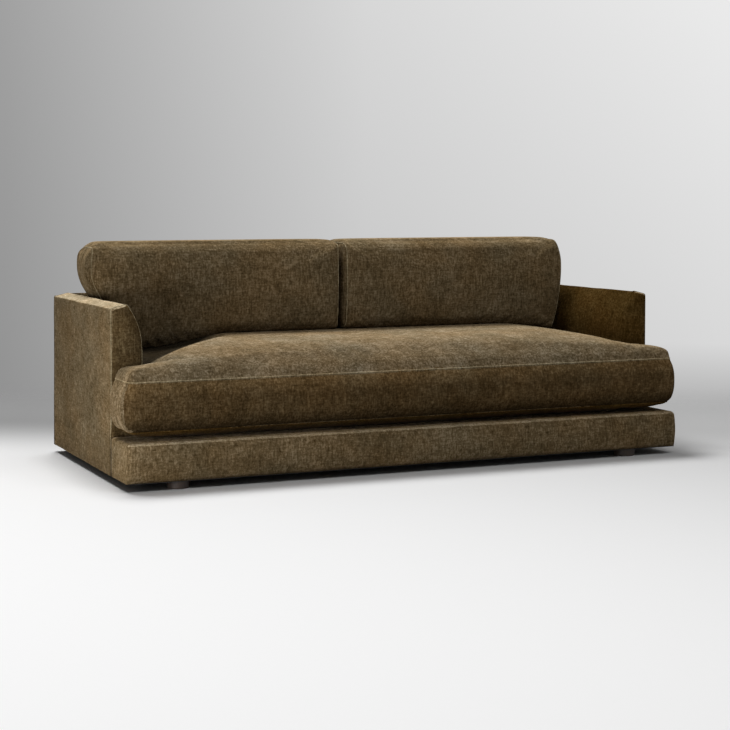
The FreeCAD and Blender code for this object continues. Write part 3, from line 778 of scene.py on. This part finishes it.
# Back: padded like the arms, with the same crest, between the arms and behind the loose cushions.
# A plain outside panel is stitched over the rear from arm to arm.
back_low = Vector((-1.0103, 0.398, 0.160))
back_high = Vector((1.0103, 0.5045, 0.606))
back_rear = 0.508
back_reach = 1.071
panel_low = Vector((-1.0655, 0.5030, 0.0285))
panel_high = Vector((1.0655, 0.5075, 0.5945))
panel_edge_radius = 0.003


def shape_back(point):
    """Thins the back along its crest curve, fits it between the arms and lets its top fall to the rear."""
    depth = crest_depth(point.z)
    share = (back_rear - point.y) / arm_thickness
    point.x *= (back_reach - depth) / back_high.x
    point.y = back_rear - share * depth
    if point.z > back_high.z - 0.001:
        point.z -= crest_fall * (1 - share)


def on_panel_rim(point):
    """Points on the outer edge of the outside panel."""
    at_side = abs(point.x) > panel_high.x - 0.0005
    at_level = point.z < panel_low.z + 0.0005 or point.z > panel_high.z - 0.0005
    return point.y > panel_high.y - 0.0005 and (at_side or at_level)


back = add_block(back_low, back_high)
cut_along(0, 60)
cut_along(1, 3)
slice_heights(back_low.z, back_high.z)
move_points(shape_back)
pick("EDGE", lambda point: point.z > back_high.z - 0.0005)
round_edges(crest_edge_radius, 3)
soften(back, 0.17, 0.003)
dress(back, "back_upholstery", olive_pile, "frame", "pile_fabric", "inside_back_cover", "back_pad")

rear_panel = add_block(panel_low, panel_high)
cut_along(0, 80)
cut_along(2, 20)
pick("EDGE", on_panel_rim)
round_edges(panel_edge_radius, 3)
soften(rear_panel, 0.22, 0.0025)
dress(rear_panel, "outside_back_panel", olive_pile, "frame", "pile_fabric", "outside_back_cover")

# Seat cushion: one foam bench across the whole seat, with an ear ahead of each arm, in a sewn cover.
# Top and bottom panels join an upright boxing band in two welted seams; the filling swells the cover.
seat_half = 0.9480
ear_half = 1.0590
seat_front = -0.4970
seat_rear = 0.3865
ear_rear = -0.3185
seat_seam_low = 0.195
seat_seam_high = 0.361
seat_crown = 0.096
seat_roll = 0.036
seat_roll_run = 0.024
seat_under = 0.1612
ear_front_corner = 0.024
ear_rear_corner = 0.015
boxing_bulge = 0.019
seat_voxel = 0.012
seat_swell = 0.010
seat_top_limit = 0.4566
arm_side_limit = 0.9552
arm_front_limit = -0.3092
zip_face_limit = 0.3848
seat_zip_height = 0.278
seat_zip_half = 0.654
zip_tape_half = 0.009
# The seat's pile has a painted shadow beside the left arm, where the arm's shadow falls.
seat_pile = pile_material(
    "seat_pile", (0.0475, 0.0333, 0.016), (0.1165, 0.0860, 0.0484), (0.236, 0.189, 0.1275), 2.2,
    painted_shadow=((-0.79, 0.61, 0.0), 0.512, 0.562, -0.335),
)
# A darker copy of the pile for the front of the boxing, as painted shade, with painted shading that darkens
# it towards its lower seam.
shaded_boxing_pile = pile_material(
    "shaded_boxing_pile", (0.0425, 0.0255, 0.0092), (0.102, 0.0646, 0.0281), (0.207, 0.1445, 0.0748), 1.2,
    painted_shading=((0.200, 0.235), (0.246, 0.588), (0.300, 0.588), (0.356, 1.0)),
)
# A lighter copy of the pile, as a painted highlight along the welts.
highlit_welt_pile = pile_material(
    "highlit_welt_pile", (0.112, 0.087, 0.048), (0.215, 0.174, 0.106), (0.38, 0.318, 0.21), 1.6
)


def plump(piece, sewn, spare, reach):
    """Fills a sewn cover whose cloth has a share to spare: it swells, by no more than reach, between the
    points that hold.
    """
    start = [corner.co.copy() for corner in piece.data.vertices]
    seams = piece.vertex_groups.new(name="sewn")
    seams.add(list(sewn), 1.0, "REPLACE")
    filling = add_modifier(piece, "CLOTH")
    filling.settings.use_pressure = True
    filling.settings.uniform_pressure_force = 4.0
    filling.settings.vertex_group_mass = seams.name
    filling.settings.shrink_min = -spare
    filling.settings.effector_weights.gravity = 0
    filling.collision_settings.use_collision = False
    filling.point_cache.frame_start = 1
    filling.point_cache.frame_end = 20
    for moment in range(1, 21):
        scene.frame_set(moment)
    apply_modifiers(piece)
    scene.frame_set(1)
    for corner, place in zip(piece.data.vertices, start):
        move = corner.co - place
        if move.length > 1e-6:
            corner.co = place + move * (reach * math.tanh(move.length / reach) / move.length)


def ease(distance, run):
    """Climbs from 0 at an edge towards 1 well inside it."""
    return 1 - math.exp(-max(0.0, distance) / run)


def inside_seat(x, y):
    """Distance of a point from the seams that run round the cushion's outline."""
    middle = min(seat_half - abs(x), y - seat_front, seat_rear - y)
    ear = min(ear_half - abs(x), y - seat_front, ear_rear - y)
    return max(middle, ear, 0.0)


def seat_rise(x, y):
    """Height of the top panel over its seams: a rolled edge, and a dome that sinks beside the left arm."""
    inset = 1 - min(1.0, inside_seat(x, y) / seat_roll_run)
    from_arm = seat_half - abs(x)
    if x < 0:
        width = 0.05 + 0.25 * portion((y + 0.3) / 0.4)
        climb = portion((from_arm - 0.4 * width) / (1.4 * width))
        climb = climb * climb * (3 - 2 * climb)
    else:
        climb = 0.72 + 0.28 * ease(from_arm, 0.1)
    climb = max(climb, ease(ear_rear - y, 0.03))
    dome = ease(y - seat_front, 0.13) * ease(0.995 - abs(x), 0.15) * ease(seat_rear - y, 0.032)
    return seat_roll * math.sqrt(1 - inset ** 2) + (seat_crown - seat_roll) * dome * climb


def seat_drop(x, y):
    """Depth of the bottom panel under its seam: it curves under and lies flat on the deck and the base."""
    return (seat_seam_low - seat_under) * ease(inside_seat(x, y), 0.08)


def bulge_boxing(point):
    """The boxing band swells between its seams along the front and round the ears."""
    height = (2 * point.z - seat_seam_low - seat_seam_high) / (seat_seam_high - seat_seam_low)
    swell = boxing_bulge * (1 - abs(height) ** 2.5)
    point.y -= swell * (1 - ease(point.y - seat_front, 0.02))
    point.x += math.copysign(swell * (1 - ease(ear_half - abs(point.x), 0.02)), point.x)


def keep_seat_clear(point):
    """Keeps the filled cushion off the deck, the back cushions, the arms, the back and the zip."""
    point.z = min(max(point.z, seat_under), seat_top_limit)
    over_x = abs(point.x) - arm_side_limit
    over_y = point.y - arm_front_limit
    if over_x > 0 and over_y > 0:
        if over_x < over_y:
            point.x = math.copysign(arm_side_limit, point.x)
        else:
            point.y = arm_front_limit
    off_zip = max(abs(point.z - seat_zip_height) - zip_tape_half, abs(point.x) - seat_zip_half, 0.0)
    point.y = min(point.y, zip_face_limit + 0.010 * ease(off_zip, 0.02))


def at_seat_seam(point):
    """Points of the cover that are sewn into one of its two seams."""
    at_height = min(abs(point.z - seat_seam_low), abs(point.z - seat_seam_high)) < 0.6 * seat_voxel
    return at_height and inside_seat(point.x, point.y) < 0.6 * seat_voxel


seat = add_block(
    Vector((-seat_half, seat_front, seat_seam_low)), Vector((seat_half, seat_rear, seat_seam_high))
)
cut_plane((0, ear_rear, 0), (0, 1, 0))
for side in (-1, 1):
    pick("FACE", lambda point: point.x * side > seat_half - 0.001 and point.y < ear_rear + 0.001)
    bpy.ops.mesh.extrude_region_move(TRANSFORM_OT_translate={"value": (side * (ear_half - seat_half), 0, 0)})
pick_along(2, lambda point: abs(point.x) > ear_half - 0.001 and point.y < seat_front + 0.001)
round_edges(ear_front_corner, 6)
pick_along(2, lambda point: abs(point.x) > ear_half - 0.001 and point.y > ear_rear - 0.001)
round_edges(ear_rear_corner, 4)
bpy.ops.object.mode_set(mode="OBJECT")
add_modifier(seat, "REMESH", mode="VOXEL", voxel_size=seat_voxel)
apply_modifiers(seat)
for corner in seat.data.vertices:
    if corner.co.z > seat_seam_high - 0.002:
        corner.co.z += seat_rise(corner.co.x, corner.co.y)
    elif corner.co.z < seat_seam_low + 0.002:
        corner.co.z -= seat_drop(corner.co.x, corner.co.y)
    else:
        bulge_boxing(corner.co)
seat_seams = [corner.index for corner in seat.data.vertices if at_seat_seam(corner.co)]
plump(seat, seat_seams, 0.015, seat_swell)
for corner in seat.data.vertices:
    keep_seat_clear(corner.co)
add_modifier(seat, "SUBSURF", levels=1, render_levels=1)
apply_modifiers(seat)
covers = ["seat_cover_top", "seat_cover_boxing", "seat_cover_bottom", "seat_foam_core", "seat_foam_ears"]
dress(seat, "seat_cushion_upholstery", seat_pile, "seat_cushion", "pile_fabric", *covers)
# Painted shade on the seat: the darker boxing copy on the front of the boxing, and the shaded copy on the
# bottom panel under the lower seam.
paint_light_on_faces(seat, shaded_boxing_pile, lambda centre, normal: centre.z < seat_seam_high and normal.y < -0.5)
paint_light_on_faces(seat, shaded_pile, lambda centre, normal: centre.z < seat_seam_low)


def start_welt(piece, name):
    """A copy of a piece's mesh, in edit mode, from which a welt's line is cut."""
    welt = bpy.data.objects.new(name, piece.data.copy())
    scene.collection.objects.link(welt)
    choose(welt)
    for group in piece.vertex_groups:
        welt.vertex_groups.new(name=group.name)
    bpy.ops.object.mode_set(mode="EDIT")
    return welt


def finish_welt(name, body, radius, pile):
    """In edit mode, turns a line of edges into a welt: a cord of the same cloth sewn into the seam."""
    bpy.ops.mesh.select_all(action="SELECT")
    bpy.ops.mesh.vertices_smooth(factor=0.5, repeat=3)
    bpy.ops.object.mode_set(mode="OBJECT")
    bpy.ops.object.convert(target="CURVE")
    bpy.context.object.data.bevel_depth = radius
    bpy.context.object.data.bevel_resolution = 2
    bpy.ops.object.convert(target="MESH")
    dress(bpy.context.object, name, pile, body, "pile_fabric")


def welt_round(piece, name, body, place, normal, radius, pile):
    """A welt all round a piece where a plane cuts it."""
    start_welt(piece, name)
    cut_plane(place, normal, clear_inner=True, clear_outer=True)
    finish_welt(name, body, radius, pile)


seam_welt_radius = 0.0021
arm_welt_radius = 0.0028
arm_welt_depth = -0.3030
# The top seam's welt has the painted highlight, the bottom seam's welt the painted shade.
for edge, z, pile in (("top", seat_seam_high, highlit_welt_pile), ("bottom", seat_seam_low, shaded_pile)):
    name = "seat_" + edge + "_welt"
    welt_round(seat, name, "seat_cushion", (0, 0, z), (0, 0, 1), seam_welt_radius, pile)
# The left arm's welt has the painted highlight, the right arm's welt the painted shade.
for arm, hand, pile in ((left_arm, "left", highlit_welt_pile), (right_arm, "right", shaded_pile)):
    name = hand + "_arm_front_welt"
    welt_round(arm, name, "frame", (0, arm_welt_depth, 0), (0, 1, 0), arm_welt_radius, pile)

# Back cushions: two loose fibre-filled cushions side by side, softer than the seat, leaning on the back.
# The front panel runs over the top; an end panel is sewn in at each end, and a zip lies low in the rear.
cushion_bottom = 0.4590
cushion_top = 0.7985
cushion_depth = 0.26
cushion_swell = 0.008
cushion_shoulder = 0.70
front_foot = 0.168
front_lean = 0.010
front_belly = 0.052
rear_foot = 0.396
rear_lean = 0.19
sag_limit = 0.408
rest_depth = 0.20
rest_gap = 0.009
front_top_radii = (0.046, 0.033)
rear_top_radii = (0.13, 0.075)
front_bottom_radii = (0.030, 0.026)
rear_bottom_radius = 0.020
pull_limit = 0.052
cushion_side_limit = 1.0655
cushion_zip_limit = 0.3880
back_top = 0.606
back_face = 0.5065
cushion_zip_height = 0.4785
cushion_zip_middle = 0.4795
cushion_zip_half = 0.325


def round_corner(a, b, reach_a, reach_b=None):
    """Brings a point near a box's corner onto a round one; a and b are its distances inside the two faces."""
    reach_b = reach_b or reach_a
    if a >= reach_a or b >= reach_b:
        return a, b
    u = 1 - a / reach_a
    v = 1 - b / reach_b
    return (
        reach_a * (1 - u * math.sqrt(1 - v * v / 2)),
        reach_b * (1 - v * math.sqrt(1 - u * u / 2)),
    )


def cushion_front(z):
    """Depth of the front panel at a height: it leans forwards a little and bulges over the seat."""
    up = (z - cushion_bottom) / (cushion_top - cushion_bottom)
    return front_foot - front_lean * up - front_belly * up * (1 - up)


def cushion_rear(z):
    """Depth of the rear panel at a height: it lies on the back and swells over its top."""
    free = rear_foot + rear_lean * (z - cushion_bottom)
    return min(free, back_face - crest_depth(min(z, back_top)) + max(0.0, z - back_top))


def seat_under_cushion(x):
    """Height of the seat's top where a cushion rests on it: it falls away towards the arm."""
    return min(cushion_bottom, max(sag_limit, seat_seam_high + seat_rise(x, rest_depth) + rest_gap))


def keep_cushion_clear(point):
    """Keeps a filled cushion off the seat, the arm, the back and its own zip."""
    point.z = max(point.z, seat_under_cushion(point.x))
    if point.z < back_top:
        point.x = math.copysign(min(abs(point.x), cushion_side_limit - crest_depth(point.z)), point.x)
        point.y = min(point.y, back_face - crest_depth(point.z))
    past_tape = abs(point.z - cushion_zip_height) - zip_tape_half
    past_ends = abs(abs(point.x) - cushion_zip_middle) - cushion_zip_half
    point.y = min(point.y, cushion_zip_limit + 0.075 * ease(max(past_tape, past_ends, 0.0), 0.06))


def welt_along(piece, name, body, ring):
    """A welt along the ring of sewn points that one of a piece's vertex groups holds."""
    welt = start_welt(piece, name)
    bpy.ops.mesh.select_mode(type="VERT")
    bpy.ops.mesh.select_all(action="DESELECT")
    welt.vertex_groups.active = welt.vertex_groups[ring]
    bpy.ops.object.vertex_group_select()
    bpy.ops.mesh.select_all(action="INVERT")
    bpy.ops.mesh.delete(type="VERT")
    bpy.ops.mesh.select_all(action="SELECT")
    bpy.ops.mesh.delete(type="ONLY_FACE")
    # The cushion welts have the painted highlight.
    finish_welt(name, body, seam_welt_radius, highlit_welt_pile)


def make_back_cushion(
    hand, side, inner, outer, pull_height, pull, shoulder, taper, plan_corners, top_corners, low_corners
):
    """Shapes a box into one cushion, fills it, and sews a welt round each end.

    The outer end pulls in towards the bottom, over a height under the shoulder, and also above the shoulder
    and towards the rear. Corner radii are for the outer and the inner end: seen from above, and at the top
    and the bottom from the front.
    """
    cushion = add_block(Vector((inner, 0, cushion_bottom)), Vector((outer, 1, cushion_top)))
    for axis, cuts in enumerate((112, 30, 38)):
        cut_along(axis, cuts)
    bpy.ops.object.mode_set(mode="OBJECT")
    rings = {"outer": [], "inner": []}
    for corner in cushion.data.vertices:
        reach, share, z = corner.co
        off_outer = outer - reach
        off_inner = reach - inner
        near = share * cushion_depth
        far = (1 - share) * cushion_depth
        down = cushion_top - z
        up = z - cushion_bottom
        if min(share, 1 - share, up, down) < 0.0001:
            if off_outer < 0.0001:
                rings["outer"].append(corner.index)
            if off_inner < 0.0001:
                rings["inner"].append(corner.index)
        near, down = round_corner(near, down, *front_top_radii)
        far, down = round_corner(far, down, *rear_top_radii)
        near, up = round_corner(near, up, *front_bottom_radii)
        far, up = round_corner(far, up, rear_bottom_radius)
        off_outer, near = round_corner(off_outer, near, plan_corners[0])
        off_inner, near = round_corner(off_inner, near, plan_corners[1])
        off_outer, down = round_corner(off_outer, down, top_corners[0])
        off_inner, down = round_corner(off_inner, down, top_corners[1])
        off_outer, up = round_corner(off_outer, up, low_corners[0])
        off_inner, up = round_corner(off_inner, up, low_corners[1])
        z = cushion_top - down if down < 0.15 else cushion_bottom + up
        share = near / cushion_depth if near < cushion_depth / 2 else 1 - far / cushion_depth
        reach = outer - off_outer if off_outer < 0.3 else inner + off_inner
        pull_in = min(pull * (max(0.0, cushion_shoulder - z) / pull_height) ** 2, pull_limit)
        pull_in += taper * share ** 1.3
        pull_in += shoulder * max(0.0, (z - cushion_shoulder) / 0.10) ** 2
        reach -= pull_in * max(0.0, 1 - off_outer / 0.25)
        z -= (cushion_bottom - seat_under_cushion(side * reach)) * max(0.0, 1 - up / 0.16)
        corner.co = (side * reach, cushion_front(z) + share * (cushion_rear(z) - cushion_front(z)), z)
    face_outwards()
    for end, ring in rings.items():
        cushion.vertex_groups.new(name=end).add(ring, 1.0, "REPLACE")
    sewn = set(rings["outer"] + rings["inner"])
    for corner in cushion.data.vertices:
        on_seat = corner.co.z < seat_under_cushion(corner.co.x) + 0.004
        on_back = corner.co.z < 0.60 and corner.co.y > cushion_rear(corner.co.z) - 0.006
        if on_seat or on_back:
            sewn.add(corner.index)
    plump(cushion, sewn, 0.02, cushion_swell)
    for corner in cushion.data.vertices:
        keep_cushion_clear(corner.co)
    body = hand + "_back_cushion"
    for end in rings:
        welt_along(cushion, hand + "_cushion_" + end + "_welt", body, end)
    add_modifier(cushion, "SUBSURF", levels=1, render_levels=1)
    apply_modifiers(cushion)
    parts = [body + "_" + part for part in ("fill", "cover_front", "cover_rear", "end_panels")]
    dress(cushion, hand + "_cushion_upholstery", olive_pile, body, "pile_fabric", *parts)


make_back_cushion(
    "left", side=-1, inner=0.0240, outer=1.0260, pull_height=0.090, pull=0.034, shoulder=0.012, taper=0.034,
    plan_corners=(0.050, 0.034), top_corners=(0.050, 0.026), low_corners=(0.070, 0.020),
)
make_back_cushion(
    "right", side=1, inner=-0.0040, outer=0.9690, pull_height=0.250, pull=0.041, shoulder=0.028, taper=0.030,
    plan_corners=(0.026, 0.030), top_corners=(0.008, 0.026), low_corners=(0.020, 0.020),
)

# Zips: a woven tape with a nylon coil along its middle, and a plated slider with a flat pull.
# One lies across the rear boxing of the seat cushion and one low behind each back cushion.
tape_brown = (0.030, 0.022, 0.012, 1)
coil_brown = (0.070, 0.054, 0.034, 1)
antique_plate = steel_material("antique_plate", (0.23, 0.19, 0.13, 1), 0.3, 0.5)
# Share of the slider's length, near and far face from the tape, and half height: two plates and their post
slider_plates = ((0.42, 0.0, 0.0009, 0.0058), (0.42, 0.0026, 0.0034, 0.0058), (0.22, 0.0008, 0.0027, 0.0016))
pull_half = 0.0028
zips = [
    ("seat_zip_tape", "seat_zip_slider", "seat_zip_slider", 1),
    ("left_back_cushion_zip_tape", "left_back_cushion_zip_slider", "left_back_zip_slider", 1),
    ("right_back_cushion_zip_tape", "right_back_cushion_zip_slider", "right_back_zip_slider", -1),
]


def zip_material(name, centre):
    """Zip tape with a band of coil teeth along its middle, at a height."""
    material, tree, shader = new_material(name)
    spot = object_point(tree)
    up = reckon(tree, "SUBTRACT", dot(tree, spot, upward), centre)
    off = add_node(tree, "Math", {0: up}, operation="ABSOLUTE")[0]
    teeth = add_node(tree, "TexWave", {"Vector": spot, "Scale": 105.0}, bands_direction="X")["Fac"]
    coil = reckon(tree, "MULTIPLY", ramp(tree, off, 0.0022, 0.0028, 1.0, 0.0), teeth)
    tone = mix_colours(tree, coil, tape_brown, coil_brown)
    set_inputs(tree, shader, {"Base Color": tone, "Normal": bump(tree, coil, 0.8, 0.001), "Roughness": 0.6})
    return material


def block_between(first, last):
    """A block between any two opposite corners, in edit mode."""
    return add_block(Vector(map(min, first, last)), Vector(map(max, first, last)))


def round_all(radius, segments):
    """Rounds all the edges of a block and leaves edit mode."""
    bpy.ops.mesh.select_all(action="SELECT")
    round_edges(radius, segments)
    bpy.ops.object.mode_set(mode="OBJECT")


def make_slider(node, body, direction):
    """A zip slider: two tapered plates on a post, and a flat pull that lies along the tape."""
    low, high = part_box(node)
    middle = (low + high) / 2
    length = high.x - low.x
    start = low.x if direction > 0 else high.x
    plates = []
    for reach, near, far, half in slider_plates:
        first = (start, low.y + near, middle.z - half)
        last = (start + direction * reach * length, low.y + far, middle.z + half)
        plates.append(block_between(first, last))
        tail = start + direction * (reach * length - 0.0005)
        pick("VERT", lambda point: (point.x - tail) * direction > 0)
        bpy.ops.transform.resize(value=(1, 1, 0.7), center_override=middle)
        round_all(0.0003, 2)
    first = (start + direction * 0.1 * length, low.y + 0.0035, middle.z - pull_half)
    last = (start + direction * length, low.y + 0.0048, middle.z + pull_half)
    block_between(first, last)
    round_all(0.0005, 3)
    for plate in plates:
        plate.select_set(True)
    bpy.ops.object.join()
    dress(bpy.context.object, node + "_metal", antique_plate, body, "zip_metal", node)


for tape, slider, body, direction in zips:
    low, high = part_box(tape)
    paint(nodes[tape], zip_material(tape + "_coil", (low.z + high.z) / 2))
    make_slider(slider, body, direction)
